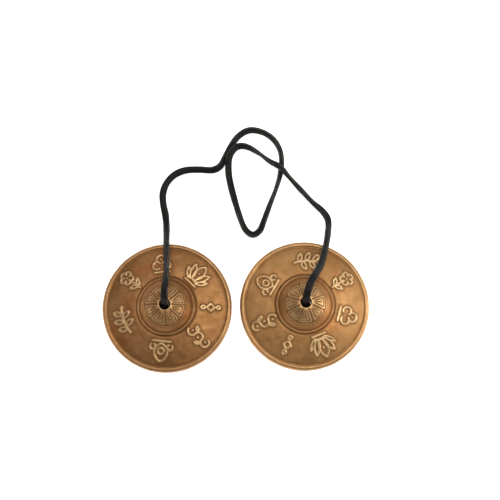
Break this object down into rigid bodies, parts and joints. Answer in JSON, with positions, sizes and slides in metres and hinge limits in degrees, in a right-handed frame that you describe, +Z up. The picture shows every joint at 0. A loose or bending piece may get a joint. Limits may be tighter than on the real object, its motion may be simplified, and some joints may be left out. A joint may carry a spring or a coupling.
{
  "type": "finger cymbals",
  "caption": "Cast metal finger cymbals lying dome up: thick-rimmed dished discs with hollow domed bosses, joined by a loose leather lace knotted inside each centre hole.",
  "frame": {"origin": "midway between the two cymbals, on the surface that their rims rest on", "axes": "+Z up out of the domes, +X from the left cymbal to the right one, +Y towards the loose loop of the lace"},
  "size_m": [0.134, 0.1277, 0.0231],
  "materials": {
    "brown_bronze": "cast, reddish-brown patina with dark recesses and bright worn relief",
    "golden_bronze": "cast, golden patina with dark recesses and bright worn relief",
    "black_leather": "soft black-brown oval leather lace, faintly shiny"
  },
  "bodies": {
    "lace": {"lace_loop": "black_leather"},
    "left_lead": {"lace_lead_left": "black_leather", "knot_left": "black_leather"},
    "left_cymbal": {"cymbal_left": "brown_bronze"},
    "right_lead": {"lace_lead_right": "black_leather", "knot_right": "black_leather"},
    "right_cymbal": {"cymbal_right": "golden_bronze"}
  },
  "joints": [
    {"name": "left_tilt", "type": "hinge", "parent": "lace", "child": "left_lead", "pos_m": [-0.0348, 0.0325, 0.007], "axis": [-1, 0, 0], "range_deg": [0, 75]},
    {"name": "left_swivel", "type": "hinge", "parent": "left_lead", "child": "left_cymbal", "pos_m": [-0.0345, 0, 0.014], "axis": [0, 0, 1], "continuous": true},
    {"name": "right_tilt", "type": "hinge", "parent": "lace", "child": "right_lead", "pos_m": [0.0466, 0.0325, 0.0068], "axis": [-1, 0, 0], "range_deg": [0, 75]},
    {"name": "right_swivel", "type": "hinge", "parent": "right_lead", "child": "right_cymbal", "pos_m": [0.0345, 0, 0.014], "axis": [0, 0, 1], "continuous": true}
  ]
}
